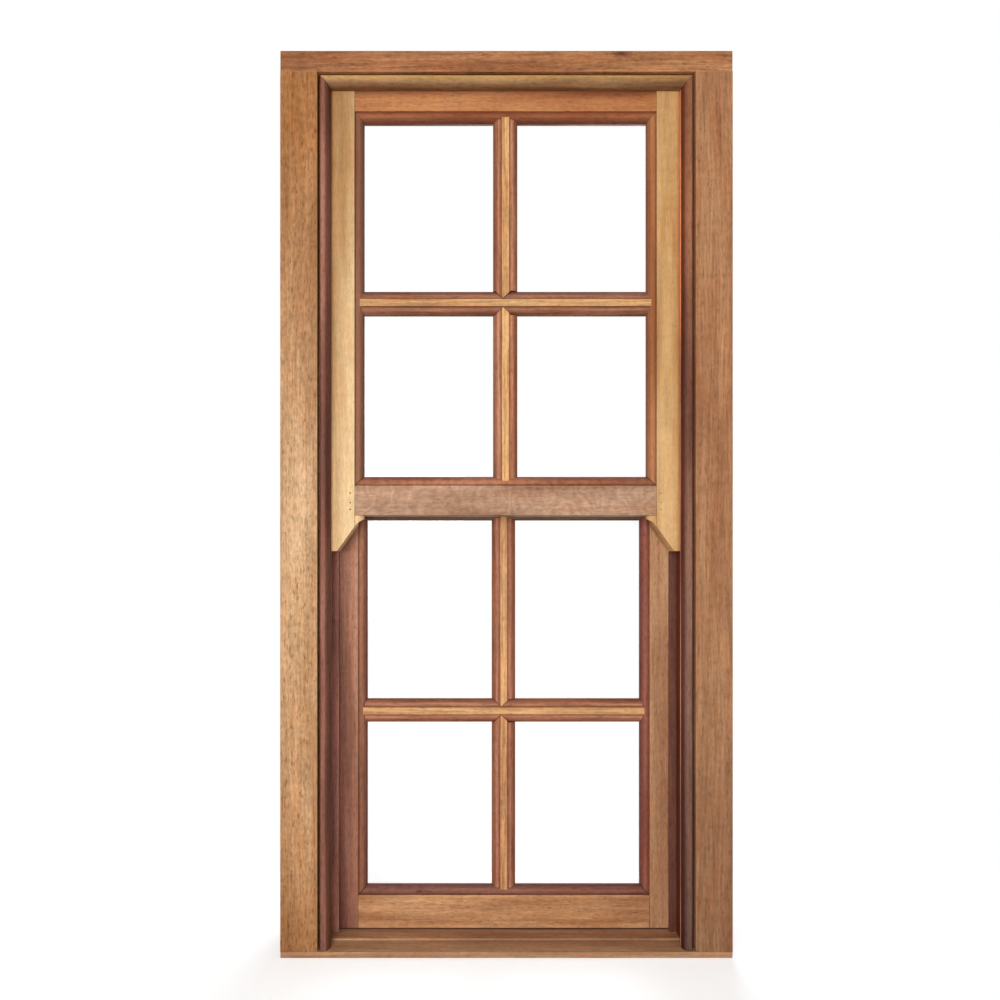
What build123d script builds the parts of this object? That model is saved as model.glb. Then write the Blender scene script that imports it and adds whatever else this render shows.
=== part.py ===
from build123d import *
import os

# A vertical sliding sash window in oiled hardwood, drawn in millimetres.
# X runs across the window, Y from the outside to the room and Z up.
# The origin lies under the middle of the sill. Depths are counted from the outside face.

# Frame
frame_width = 895
frame_height = 1795
frame_depth = 140
jamb_face = 73
head_face = 41
shadow_gap = 4

# Outer stop bead, planted in the rebate of the jambs and head
bead_width = 20
bead_depth = 20
bead_setback = 3
bead_nose = 13
bead_ease = 4
bead_lap = 6

# Parting bead, let into a groove between the two tracks
parting_depth = 8.4
parting_proud = 14
parting_groove = 8
parting_ease = 1.5

# Staff bead, planted round the room side
staff_width = 10
staff_depth = 20
staff_nose = 8

# Sill
sill_nose_height = 12
sill_step_back = 42
sill_step_foot = 13.5
sill_step_top = 16.5
sill_run_height = 17.5
sill_height = 20.4
sill_arris = 1.5
drip_width = 6

# Running clearances and the open line left at a hand-made seam
run_clearance = 0.8
side_clearance = 1.5
head_clearance = 1
seat_clearance = 0.3
seam = 0.3
overrun = 5

# Sash members
sash_depth = 42
stile_width = 70
top_rail_height = 64
meeting_rail_height = 78.5
bottom_rail_height = 87.5
meeting_height = 877.5
lower_rail_drop = 7
upper_splay = 9.4
lower_splay = 8

# Sash moulding: a quirk, then an ovolo that falls to the glass
moulding_width = 19
quirk_width = 3
quirk_depth = 4
ovolo_crown_depth = 2.5
ovolo_foot_depth = 11
bulge_share = 0.707

# Glazing
rebate_depth = 14
rebate_width = 16
glass_thickness = 4
glass_cover = 13
glass_play = 0.2
glazing_bead_depth = 16
glazing_bead_setback = 2
glazing_bead_edge = 4.3

# Glazing bars
bar_width = 49
bar_fillet = 16
bar_fillet_drop = 2
bar_point_offset = 5
upper_bar_share = 0.49
lower_bar_share = 0.478

# Horns of the upper stiles
horn_length = 72
horn_flat = 16
horn_edge_drop = 7
horn_knee_in = 20
horn_knee_drop = 24
horn_hollow = 1.5

# Tenons and their pins
tenon_length = 30
tenon_depth = 12
tenon_set = 15
tenon_shoulder = 5
tenon_play = 0.2
tenon_end_gap = 1
pin_radius = 1.6
pin_sides = 8
pin_length = 30
pin_play = 0.1
pin_inset = 8.5
pin_shares = (0.2, 0.43, 0.75)

# Spiral balances, one in the edge of each stile
groove_width = 17
groove_depth = 17
groove_floor = 14
tube_radius = 7
tube_wall = 1.2
tube_drop = 36
tube_rest_gap = 46
tab_height = 38
tab_thickness = 2
tab_width = 14
tab_lap = 6
nut_height = 20
nut_play = 0.1
rod_radius = 2.5
rod_play = 0.4
engagement = 30
foot_height = 14
foot_width = 15
screw_head_radius = 3.5
screw_head_height = 2.2
screw_radius = 1.8
screw_length = 25
screw_play = 0.1
screw_drop = 12

# Places across the window, on the right-hand side
frame_edge = frame_width / 2
rebate_edge = frame_edge - jamb_face
bead_outer = rebate_edge - shadow_gap
bead_inner = bead_outer - bead_width
track_wall = bead_inner + bead_lap
parting_inner = track_wall - parting_proud
staff_inner = track_wall - staff_width
sash_edge = track_wall - side_clearance
sight_edge = sash_edge - stile_width
quirk_edge = sight_edge + moulding_width
tenon_end = quirk_edge + tenon_length
groove_back = sash_edge - groove_depth
tube_centre = groove_back + groove_depth / 2

# Places through the window, from the outside face to the room
bead_back = bead_setback + bead_depth
upper_front = bead_back + run_clearance
upper_back = upper_front + sash_depth
parting_front = upper_back + run_clearance
parting_back = parting_front + parting_depth
lower_front = parting_back + run_clearance
lower_back = lower_front + sash_depth
staff_front = lower_back + run_clearance
staff_back = staff_front + staff_depth
sill_seat_front = lower_front + drip_width

# Heights above the underside of the sill
head_rebate = frame_height - head_face
bead_top = head_rebate - shadow_gap
bead_foot = bead_top - bead_width
soffit = bead_foot + bead_lap
upper_top = soffit - head_clearance
upper_sight_top = upper_top - top_rail_height
upper_sight_foot = meeting_height + meeting_rail_height
horn_foot = meeting_height - horn_length
lower_foot = sill_height + seat_clearance
lower_sight_foot = lower_foot + bottom_rail_height
lower_sight_top = meeting_height - lower_rail_drop
lower_top = lower_sight_top + meeting_rail_height
upper_bar = upper_sight_foot + upper_bar_share * (upper_sight_top - upper_sight_foot)
lower_bar = lower_sight_foot + lower_bar_share * (lower_sight_top - lower_sight_foot)
upper_groove_foot = meeting_height + groove_floor
lower_groove_foot = lower_foot + groove_floor
tube_top = soffit - tube_drop
tube_foot = upper_groove_foot + foot_height + tube_rest_gap
balance_travel = tube_top - tube_foot - 2 * engagement


def from_outside(depth):
    """Y of a depth counted from the outside face."""
    return depth - frame_depth / 2


def upright(section, low, high):
    """A section drawn across the window, run upwards."""
    return Pos(0, 0, low) * extrude(section, high - low, dir=(0, 0, 1))


def slab(outline, front, back):
    """An outline drawn on the window's face, run through the depth from front to back."""
    plane = Plane.XZ.offset(-from_outside(back))
    return extrude(plane * outline, back - front, dir=(0, -1, 0))


def level(section, front, height, end, upward):
    """A section of distance from an edge and depth, run level from side to side.

    The edge lies at the given height, and the section climbs from it, or hangs from it.
    """
    turn = 1 if upward else -1
    origin = (turn * end, from_outside(front), height)
    plane = Plane(origin, x_dir=(0, 0, turn), z_dir=(-turn, 0, 0))
    return extrude(plane * section, 2 * end, dir=(-turn, 0, 0))


def block(left, right, front, back, low, high):
    """A squared block between two places on each axis."""
    corner = Pos(left, from_outside(front), low)
    return corner * Box(right - left, back - front, high - low, align=(Align.MIN, Align.MIN, Align.MIN))


def eased(section, corner, radius):
    """A section with the corner nearest to a point rounded."""
    return fillet(section.vertices().sort_by_distance(corner)[0], radius)


def mirrored(piece):
    """The left-hand twin of a right-hand piece."""
    return mirror(piece, about=Plane.YZ)


# The sill carries the frame. Its top falls outwards in two weathered steps.
sill_outline = Polygon(
    (0, 0),
    (0, sill_nose_height),
    (sill_step_back, sill_step_foot),
    (sill_step_back, sill_step_top),
    (sill_seat_front, sill_run_height),
    (sill_seat_front, sill_height),
    (frame_depth, sill_height),
    (frame_depth, 0),
    align=None,
)
sill_outline = eased(sill_outline, (sill_step_back, sill_step_top, 0), sill_arris)
sill_plane = Plane((-frame_edge, from_outside(0), 0), x_dir=(0, 1, 0), z_dir=(1, 0, 0))
sill = extrude(sill_plane * sill_outline, frame_width, dir=(1, 0, 0))

# The head runs over both jambs and has the same rebate and parting groove.
head = block(-frame_edge, frame_edge, 0, frame_depth, soffit, frame_height)
head -= block(-frame_edge, frame_edge, 0, bead_back, soffit, head_rebate)
head -= block(-parting_inner, parting_inner, parting_front, parting_back, soffit, soffit + parting_groove)

# Each jamb stands on the sill, scribed to its slope, and is housed under the head.
jamb_blank = block(track_wall, frame_edge, 0, frame_depth, 0, frame_height)
jamb_blank -= block(track_wall, rebate_edge, 0, bead_back, 0, frame_height)
jamb_blank -= block(track_wall, track_wall + parting_groove, parting_front, parting_back, 0, frame_height)
jamb = jamb_blank - head - sill


def bead_section(width, depth, nose, ease):
    """A planted bead from its free edge: a broad round on that edge and a small one opposite."""
    section = Polygon((0, 0), (0, depth), (width, depth), (width, 0), align=None)
    section = eased(section, (0, 0, 0), nose)
    return eased(section, (width, 0, 0), ease)


# The outer stop beads are mitred at the head and stand on the sill.
outer_section = bead_section(bead_width, bead_depth, bead_nose, bead_ease)
outer_mitre = Polygon(
    (bead_outer, 0), (bead_outer, bead_top), (bead_inner, bead_foot), (bead_inner, 0), align=None
)
outer_place = Pos(bead_inner, from_outside(bead_setback))
outer_side = upright(outer_place * outer_section, 0, bead_top) & slab(outer_mitre, 0, bead_back)
outer_side -= sill
outer_head_mitre = Polygon(
    (-bead_outer, bead_top), (bead_outer, bead_top), (bead_inner, bead_foot), (-bead_inner, bead_foot),
    align=None,
)
outer_head = level(outer_section, bead_setback, bead_foot, bead_outer, True)
outer_head &= slab(outer_head_mitre, 0, bead_back)

# The parting beads slip into their grooves and keep the two sashes apart.
parting_section = Polygon(
    (0, 0),
    (0, parting_depth),
    (parting_proud + parting_groove, parting_depth),
    (parting_proud + parting_groove, 0),
    align=None,
)
parting_section = eased(parting_section, (0, 0, 0), parting_ease)
parting_section = eased(parting_section, (0, parting_depth, 0), parting_ease)
parting_place = Pos(parting_inner, from_outside(parting_front))
parting_side = upright(parting_place * parting_section, 0, soffit) - sill
parting_head = level(parting_section, parting_front, soffit - parting_proud, parting_inner, True)


# The staff beads are mitred round the room side of the lower track.
staff_section = Polygon(
    (0, 0), (0, staff_depth), (staff_width, staff_depth), (staff_width, 0), align=None
)
staff_section = eased(staff_section, (0, staff_depth, 0), staff_nose)
staff_foot = sill_height + staff_width
staff_crown = soffit - staff_width
staff_place = Pos(staff_inner, from_outside(staff_front))
staff_side = upright(staff_place * staff_section, sill_height, soffit)
staff_side &= slab(
    Polygon(
        (track_wall, sill_height), (track_wall, soffit), (staff_inner, staff_crown), (staff_inner, staff_foot),
        align=None,
    ),
    staff_front, staff_back,
)


def staff_level(wall, free, upward):
    """The staff bead along the head or the sill, from its seat to its free edge."""
    mitre = Polygon(
        (-track_wall, wall), (track_wall, wall), (staff_inner, free), (-staff_inner, free), align=None
    )
    return level(staff_section, staff_front, free, track_wall, upward) & slab(mitre, staff_front, staff_back)


staff_head = staff_level(soffit, staff_crown, True)
staff_sill = staff_level(sill_height, staff_foot, False)


def ovolo(crown, crown_depth, sight):
    """The round of the moulding, from its crown to the edge beside the glass."""
    middle = (
        sight + (crown - sight) * (1 - bulge_share),
        ovolo_foot_depth - (ovolo_foot_depth - crown_depth) * bulge_share,
    )
    return ThreePointArc((crown, crown_depth), middle, (sight, ovolo_foot_depth))


def member_section(width, back_splay=0, front_splay=0):
    """Section of a stile or rail: distance from the glass edge, then depth from the sash face."""
    crown = moulding_width - quirk_width
    outline = Polyline(
        (0, ovolo_foot_depth),
        (0, rebate_depth),
        (rebate_width, rebate_depth),
        (rebate_width, sash_depth),
        (width, sash_depth + back_splay),
        (width, -front_splay),
        (moulding_width, 0),
        (moulding_width, quirk_depth),
        (crown, quirk_depth),
        (crown, ovolo_crown_depth),
    )
    return make_face((outline + ovolo(crown, ovolo_crown_depth, 0)).edges())


def bar_section():
    """Section of a glazing bar: an ovolo and a glazing rebate on each side of a flat fillet."""
    sight = bar_width / 2
    crown = bar_fillet / 2
    web = sight - rebate_width
    shoulder_depth = ovolo_crown_depth + bar_fillet_drop
    front = Polyline(
        (-crown, shoulder_depth),
        (-crown, ovolo_crown_depth),
        (crown, ovolo_crown_depth),
        (crown, shoulder_depth),
    )
    back = Polyline(
        (sight, ovolo_foot_depth),
        (sight, rebate_depth),
        (web, rebate_depth),
        (web, sash_depth),
        (-web, sash_depth),
        (-web, rebate_depth),
        (-sight, rebate_depth),
        (-sight, ovolo_foot_depth),
    )
    rounds = ovolo(crown, shoulder_depth, sight) + ovolo(-crown, shoulder_depth, -sight)
    return make_face((front + back + rounds).edges())


def tenon_span(sight, upward, height):
    """Lowest and highest place of a rail's tenon."""
    turn = 1 if upward else -1
    ends = (sight + turn * (moulding_width + tenon_shoulder), sight + turn * (height - tenon_shoulder))
    return min(ends), max(ends)


def rail(sight, upward, height, front, back_splay=0, front_splay=0):
    """A rail with its moulding mitred into the stiles and a tenon at each end."""
    turn = 1 if upward else -1
    end = quirk_edge - seam
    corner = sight_edge - seam
    outer = sight + turn * height
    quirk = sight + turn * moulding_width
    mitre = Polygon(
        (-end, outer), (end, outer), (end, quirk), (corner, sight), (-corner, sight), (-end, quirk), align=None
    )
    body = level(member_section(height, back_splay, front_splay), front, sight, end, upward)
    body &= slab(mitre, front - front_splay, front + sash_depth + back_splay)
    low, high = tenon_span(sight, upward, height)
    tenon_front = front + tenon_set
    return body + block(-tenon_end, tenon_end, tenon_front, tenon_front + tenon_depth, low, high)


def mortise(sight, upward, height, front):
    """The socket in the right-hand stile for a rail's tenon."""
    low, high = tenon_span(sight, upward, height)
    near = front + tenon_set - tenon_play
    far = front + tenon_set + tenon_depth + tenon_play
    return block(sight_edge, tenon_end + tenon_end_gap, near, far, low - tenon_play, high + tenon_play)


def stile(outline, low, high, front, groove_foot):
    """A right-hand stile cut to its outline, with the groove of its balance in the edge."""
    section = Pos(sight_edge, from_outside(front)) * member_section(stile_width)
    body = upright(section, low, high) & slab(outline, front, front + sash_depth)
    groove_front = front + (sash_depth - groove_width) / 2
    groove_end = groove_front + groove_width
    return body - block(groove_back, sash_edge + overrun, groove_front, groove_end, groove_foot, high + overrun)


def cross_bar(height, front, right_stile):
    """The level bar, whole from stile to stile, notched for the points of the upright bar."""
    body = level(bar_section(), front, height, quirk_edge - quirk_width, True)
    for coping in (right_stile, Pos(-seam, -seam, 0) * right_stile):
        body = body - coping - mirrored(coping)
    spread = (bar_width - bar_fillet) / 2 + overrun
    for turn in (1, -1):
        tip = height + turn * bar_fillet / 2
        notch = Polygon((0, tip), (spread, tip + turn * spread), (-spread, tip + turn * spread), align=None)
        notch = Pos(-bar_point_offset, 0) * notch
        body -= slab(notch, front - overrun, front + rebate_depth)
    return body


def upright_bar(height, front, sight, end_rail):
    """One length of the upright bar: pointed at the level bar and coped over the rail."""
    turn = 1 if sight > height else -1
    end = sight + turn * (moulding_width - quirk_width)
    section = Pos(0, from_outside(front)) * bar_section()
    body = upright(section, min(height, end), max(height, end))
    body = body - end_rail - Pos(0, -seam, -turn * seam) * end_rail
    side = bar_width / 2
    spread = (bar_width - bar_fillet) / 2
    tip = height + turn * (bar_fillet / 2 + seam)
    shoulder = tip + turn * spread
    below = height - turn * overrun
    point = Polygon(
        (-side - overrun, below),
        (side + overrun, below),
        (side + overrun, shoulder),
        (spread - bar_point_offset, shoulder),
        (-bar_point_offset, tip),
        (-spread - bar_point_offset, shoulder),
        (-side - overrun, shoulder),
        align=None,
    )
    body -= slab(point, front - overrun, front + rebate_depth)
    web_end = height + turn * (bar_width / 2 - rebate_width + seam)
    low, high = min(below, web_end), max(below, web_end)
    return body - block(-side, side, front + rebate_depth, front + sash_depth + overrun, low, high)


def glass(left, right, low, high, front):
    """A pane that laps behind the mouldings on all four sides."""
    face = front + rebate_depth + glass_play
    return block(
        left - glass_cover, right + glass_cover, face, face + glass_thickness, low - glass_cover, high + glass_cover
    )


def glazing_beads(left, right, low, high, front):
    """The four mitred beads that hold a pane from the room side."""
    near = front + rebate_depth + glass_thickness + 2 * glass_play
    far = near + glazing_bead_depth
    reach = rebate_width - glass_play
    section = Polygon(
        (glazing_bead_setback, 0), (reach - glazing_bead_edge, glazing_bead_depth), (reach, glazing_bead_depth), (reach, 0),
        align=None,
    )
    centre = (left + right) / 2
    half = (right - left) / 2
    outer = half + reach
    side = upright(Pos(half, from_outside(near)) * section, low - reach, high + reach)
    side &= slab(
        Polygon((half, low), (outer, low - reach), (outer, high + reach), (half, high), align=None), near, far
    )
    pieces = [side, mirrored(side)]
    for sight, upward in ((high, True), (low, False)):
        wall = sight + reach if upward else sight - reach
        mitre = Polygon((-half, sight), (half, sight), (outer, wall), (-outer, wall), align=None)
        pieces.append(level(section, near, sight, outer, upward) & slab(mitre, near, far))
    return [Pos(centre, 0, 0) * piece for piece in pieces]


def panes(sight_foot, sight_top, bar):
    """Name and daylight edges of the four panes of a sash."""
    side = bar_width / 2
    across = {"left": (-sight_edge, -side), "right": (side, sight_edge)}
    rows = {"top": (bar + side, sight_top), "bottom": (sight_foot, bar - side)}
    return {
        f"{row}_{column}": (*across[column], *rows[row]) for row in rows for column in across
    }


def peg(x, height, radius):
    """A whittled, many-sided pin driven into the upper sash from the outside."""
    plane = Plane((x, from_outside(upper_front), height), z_dir=(0, 1, 0))
    return extrude(plane * RegularPolygon(radius, pin_sides), pin_length, dir=(0, 1, 0))


def along_side(start, depth, height, radius, length):
    """A round bar that runs to the right from a place across the window."""
    plane = Plane((start, from_outside(depth), height), z_dir=(1, 0, 0))
    return plane * Cylinder(radius, length, align=(Align.CENTER, Align.CENTER, Align.MIN))


def standing(depth, low, high, radius):
    """A round bar that stands in the groove of a right-hand stile."""
    foot = Pos(tube_centre, from_outside(depth), low)
    return foot * Cylinder(radius, high - low, align=(Align.CENTER, Align.CENTER, Align.MIN))


# Upper sash: its stiles run on below the meeting rail as horns.
upper_horn = Polyline(
    (sight_edge, meeting_height - horn_edge_drop),
    (sight_edge, meeting_height),
    (quirk_edge, meeting_height),
    (quirk_edge, upper_sight_foot - moulding_width),
    (sight_edge, upper_sight_foot),
    (sight_edge, upper_sight_top),
    (quirk_edge, upper_sight_top + moulding_width),
    (quirk_edge, upper_top),
    (sash_edge, upper_top),
    (sash_edge, horn_foot),
    (sash_edge - horn_flat, horn_foot),
    (sight_edge + horn_knee_in, meeting_height - horn_knee_drop),
)
horn_cove = ThreePointArc(
    (sight_edge + horn_knee_in, meeting_height - horn_knee_drop),
    (
        sight_edge + horn_knee_in / 2 + horn_hollow,
        meeting_height - (horn_edge_drop + horn_knee_drop) / 2 + horn_hollow,
    ),
    (sight_edge, meeting_height - horn_edge_drop),
)
upper_outline = make_face((upper_horn + horn_cove).edges())
upper_stile = stile(upper_outline, horn_foot, upper_top, upper_front, upper_groove_foot)
upper_stile -= mortise(upper_sight_top, True, top_rail_height, upper_front)
upper_stile -= mortise(upper_sight_foot, False, meeting_rail_height, upper_front)
upper_top_rail = rail(upper_sight_top, True, top_rail_height, upper_front)
upper_meeting_rail = rail(upper_sight_foot, False, meeting_rail_height, upper_front, back_splay=upper_splay)

# Each tenon of the meeting rail is held by three pins driven from the outside.
pin_face = meeting_rail_height - moulding_width
pins = []
for share in pin_shares:
    pin_height = meeting_height + share * pin_face
    pin = peg(quirk_edge + pin_inset, pin_height, pin_radius)
    hole = peg(quirk_edge + pin_inset, pin_height, pin_radius + pin_play)
    upper_stile -= hole
    upper_meeting_rail = upper_meeting_rail - hole - mirrored(hole)
    pins += [pin, mirrored(pin)]

# Lower sash: a deep bottom rail closes on the seat of the sill.
lower_outline = Polygon(
    (sash_edge, lower_foot),
    (sash_edge, lower_top),
    (quirk_edge, lower_top),
    (quirk_edge, lower_sight_top + moulding_width),
    (sight_edge, lower_sight_top),
    (sight_edge, lower_sight_foot),
    (quirk_edge, lower_sight_foot - moulding_width),
    (quirk_edge, lower_foot),
    align=None,
)
lower_stile = stile(lower_outline, lower_foot, lower_top, lower_front, lower_groove_foot)
lower_stile -= mortise(lower_sight_top, True, meeting_rail_height, lower_front)
lower_stile -= mortise(lower_sight_foot, False, bottom_rail_height, lower_front)
lower_meeting_rail = rail(lower_sight_top, True, meeting_rail_height, lower_front, front_splay=lower_splay)
lower_bottom_rail = rail(lower_sight_foot, False, bottom_rail_height, lower_front)

# Each balance hangs from a tab screwed to the jamb and is drawn out by its rod and foot.
tab_foot = tube_top - tab_lap
screw_height = tab_foot + tab_height - screw_drop
screws = []
balances = {}
sash_depths = {"upper": upper_front, "lower": lower_front}
groove_feet = {"upper": upper_groove_foot, "lower": lower_groove_foot}
rod_tops = {"upper": tube_foot + engagement + balance_travel, "lower": tube_foot + engagement}
for sash, front in sash_depths.items():
    middle = front + sash_depth / 2
    tab_front = middle - tab_width / 2
    tab_back = middle + tab_width / 2
    head_seat = track_wall - tab_thickness
    head_start = head_seat - screw_head_height
    bore = tube_radius - tube_wall
    tube = standing(middle, tube_foot, tube_top, tube_radius)
    tube -= standing(middle, tube_foot, tab_foot, bore)
    tube += block(tube_centre, track_wall, tab_front, tab_back, tab_foot, tube_top)
    tube += block(head_seat, track_wall, tab_front, tab_back, tab_foot, tab_foot + tab_height)
    tube -= along_side(head_seat, middle, screw_height, screw_radius + screw_play, tab_thickness)
    screw = along_side(head_start, middle, screw_height, screw_head_radius, screw_head_height)
    screw += along_side(head_seat, middle, screw_height, screw_radius, screw_length)
    jamb -= along_side(track_wall, middle, screw_height, screw_radius + screw_play, screw_length)
    nut = standing(middle, tube_foot, tube_foot + nut_height, bore - nut_play)
    nut -= standing(middle, tube_foot, tube_foot + nut_height, rod_radius + rod_play)
    foot = groove_feet[sash]
    half_foot = foot_width / 2
    rod = standing(middle, foot, rod_tops[sash], rod_radius)
    rod += block(
        tube_centre - half_foot, tube_centre + half_foot, middle - half_foot, middle + half_foot,
        foot, foot + foot_height,
    )
    screws += [screw, mirrored(screw)]
    balances[f"balance_tube_{sash}"] = tube
    balances[f"balance_nut_{sash}"] = nut
    balances[f"balance_rod_{sash}"] = rod

pairs = {
    "jamb": jamb,
    "outer_bead": outer_side,
    "parting_bead": parting_side,
    "staff_bead": staff_side,
    "upper_stile": upper_stile,
    "lower_stile": lower_stile,
    **balances,
}
nodes = {
    "sill": sill,
    "head": head,
    "outer_bead_head": outer_head,
    "parting_bead_head": parting_head,
    "staff_bead_head": staff_head,
    "staff_bead_sill": staff_sill,
    "upper_top_rail": upper_top_rail,
    "upper_meeting_rail": upper_meeting_rail,
    "upper_cross_bar": cross_bar(upper_bar, upper_front, upper_stile),
    "upper_upright_bar_top": upright_bar(upper_bar, upper_front, upper_sight_top, upper_top_rail),
    "upper_upright_bar_bottom": upright_bar(upper_bar, upper_front, upper_sight_foot, upper_meeting_rail),
    "lower_meeting_rail": lower_meeting_rail,
    "lower_bottom_rail": lower_bottom_rail,
    "lower_cross_bar": cross_bar(lower_bar, lower_front, lower_stile),
    "lower_upright_bar_top": upright_bar(lower_bar, lower_front, lower_sight_top, lower_meeting_rail),
    "lower_upright_bar_bottom": upright_bar(lower_bar, lower_front, lower_sight_foot, lower_bottom_rail),
    "meeting_rail_pins": Compound(children=pins),
    "balance_screws": Compound(children=screws),
}
for name, piece in pairs.items():
    nodes[f"{name}_right"] = piece
    nodes[f"{name}_left"] = mirrored(piece)
sashes = {
    "upper": (upper_front, upper_sight_foot, upper_sight_top, upper_bar),
    "lower": (lower_front, lower_sight_foot, lower_sight_top, lower_bar),
}
for sash, (front, sight_foot, sight_top, bar) in sashes.items():
    for place, edges in panes(sight_foot, sight_top, bar).items():
        nodes[f"{sash}_glass_{place}"] = glass(*edges, front)
        nodes[f"{sash}_glazing_beads_{place}"] = Compound(children=glazing_beads(*edges, front))

os.makedirs("parts", exist_ok=True)
for name, piece in nodes.items():
    export_step(piece, f"parts/{name}.step")
print(len(nodes), "nodes, balance travel", balance_travel)
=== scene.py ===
import math

import bpy
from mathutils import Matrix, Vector


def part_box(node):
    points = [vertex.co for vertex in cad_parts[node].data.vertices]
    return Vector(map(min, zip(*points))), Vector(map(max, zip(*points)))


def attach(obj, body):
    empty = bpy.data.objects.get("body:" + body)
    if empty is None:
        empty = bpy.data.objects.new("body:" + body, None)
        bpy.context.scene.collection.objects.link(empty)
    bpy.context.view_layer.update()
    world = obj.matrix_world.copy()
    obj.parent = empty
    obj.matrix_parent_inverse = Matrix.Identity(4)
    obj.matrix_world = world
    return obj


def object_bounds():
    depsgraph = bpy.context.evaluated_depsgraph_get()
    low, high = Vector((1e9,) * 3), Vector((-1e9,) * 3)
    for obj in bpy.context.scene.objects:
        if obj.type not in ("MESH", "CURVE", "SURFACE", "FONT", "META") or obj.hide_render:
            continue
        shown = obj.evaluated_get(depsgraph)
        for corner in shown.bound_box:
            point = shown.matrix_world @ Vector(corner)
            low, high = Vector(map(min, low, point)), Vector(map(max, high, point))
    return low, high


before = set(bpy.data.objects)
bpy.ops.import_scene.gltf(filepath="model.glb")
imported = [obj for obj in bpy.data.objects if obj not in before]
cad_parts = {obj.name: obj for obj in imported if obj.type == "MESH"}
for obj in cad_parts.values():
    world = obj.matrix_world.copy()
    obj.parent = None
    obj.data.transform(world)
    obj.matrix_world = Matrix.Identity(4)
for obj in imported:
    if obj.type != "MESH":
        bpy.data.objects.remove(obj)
cad_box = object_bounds()

# Sill. One length of hardwood under the whole frame, planed to fall outwards in two weathered steps.
# It is the same oiled timber as the rest of the window, so the timber itself is described here:
# its grain, its pores, its tone and the slightly softened arris that a plane and sandpaper leave.
MILLIMETRE = 0.001


def tint(red, green, blue):
    """A screen colour, 0 to 255, as the light values that a shader takes."""
    linear = [((value / 255 + 0.055) / 1.055) ** 2.4 for value in (red, green, blue)]
    return (*linear, 1.0)


def add_node(tree, kind, sockets=(), **settings):
    """One node with its settings, and its sockets either set to values or linked to outputs."""
    made = tree.nodes.new(kind)
    for name, value in settings.items():
        setattr(made, name, value)
    for key, value in dict(sockets).items():
        if isinstance(value, bpy.types.NodeSocket):
            tree.links.new(value, made.inputs[key])
        else:
            made.inputs[key].default_value = value
    return made


def blend_colour(tree, amount, first, second, mode="MIX"):
    """The colour output of a Mix node."""
    mix = add_node(tree, "ShaderNodeMix", data_type="RGBA", blend_type=mode)
    for socket, value in ((mix.inputs[0], amount), (mix.inputs[6], first), (mix.inputs[7], second)):
        if isinstance(value, bpy.types.NodeSocket):
            tree.links.new(value, socket)
        else:
            socket.default_value = value
    return mix.outputs[2]


def grain_noise(tree, vector, along, across, detail, roughness=0.55, distortion=0.0):
    """Noise drawn out along the first axis: features per metre along the board and across it."""
    stretched = add_node(
        tree, "ShaderNodeVectorMath", {0: vector, 1: (along, across, across)}, operation="MULTIPLY"
    )
    noise = add_node(
        tree,
        "ShaderNodeTexNoise",
        {
            "Vector": stretched.outputs[0],
            "Scale": 1.0,
            "Detail": detail,
            "Roughness": roughness,
            "Distortion": distortion,
        },
    )
    return noise


def spread(tree, value, low, high, bottom=0.0, top=1.0):
    """A value stretched from one range to another and held at its ends."""
    ranged = add_node(
        tree,
        "ShaderNodeMapRange",
        {"Value": value, "From Min": low, "From Max": high, "To Min": bottom, "To Max": top},
    )
    return ranged.outputs[0]


def reckon(tree, operation, first, second=0.0):
    """The value output of a Math node."""
    return add_node(tree, "ShaderNodeMath", {0: first, 1: second}, operation=operation).outputs[0]


def times(tree, first, second):
    """The product of two values."""
    return reckon(tree, "MULTIPLY", first, second)


def plus(tree, first, second):
    """The sum of two values."""
    return reckon(tree, "ADD", first, second)


def reckon_vector(tree, operation, first, second):
    """The vector output of a Vector Math node."""
    return add_node(tree, "ShaderNodeVectorMath", {0: first, 1: second}, operation=operation).outputs[0]


# Features of the timber: counts per metre along and across the board, octaves, roughness, distortion.
GRAIN = {
    "drift": (1.6, 7.0, 2.0),
    "tone": (2.2, 26.0, 3.0, 0.5),
    "warmth": (9.0, 55.0, 3.0, 0.6),
    "streak": (8.0, 210.0, 4.0, 0.62),
    "curl": (46.0, 19.0, 3.0, 0.55, 0.9),
    "speck": (75.0, 230.0, 3.0, 0.6),
    "rings": (19.0, 15.0, 3.0, 0.45),
    "fibre": (18.0, 950.0, 2.0),
    "fleck": (62.0, 290.0, 3.0),
    "pore": (95.0, 1500.0, 1.0),
    "knot edge": (60.0, 160.0, 2.0),
}
GRAIN_SWAY = (0.0, 0.026, 0.026)
TONE_RANGE = (0.36, 0.64)
WARMTH_RANGE = (0.44, 0.68)
CURL_RANGE = (0.34, 0.66)
FIBRE_RANGE = (0.3, 0.7)
FLECK_RANGE = (0.58, 0.66)
PORE_RANGE = (0.60, 0.68)
WARMTH_SHARE = 0.5
SPECK_SHARE = 0.24
FIBRE_SHARE = 0.06
PORE_SHARE = 0.30
DUST_SHARE = 0.85
RING_COUNT = 52.0
WARM_SHADE = (1.0, 0.82, 0.68, 1.0)
FLECK_SHADE = (0.50, 0.33, 0.26, 1.0)
PORE_SHADE = (0.40, 0.28, 0.22, 1.0)
KNOT_SHADE = (0.42, 0.28, 0.34, 1.0)
LOW_DARKENING_SHADE = (0.40, 0.42, 0.46, 1.0)
DUST_SHADE = (0.30, 0.20, 0.20, 1.0)
END_SHADE = (0.52, 0.42, 0.36, 1.0)
ARRIS_HIGHLIGHT_COLOUR = (0.80, 0.52, 0.30, 1.0)
LOW_DARKENING_HEIGHT = 0.32
SIDE_TURN = (0.60, 0.985)
ARRIS_TURN = (0.82, 0.97)
PLANED_ROUGHNESS = (0.46, 0.58)
PORE_ROUGHNESS = 0.16
FIBRE_RELIEF = 0.5
PORE_RELIEF = -1.0
FLECK_RELIEF = -0.4


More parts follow.
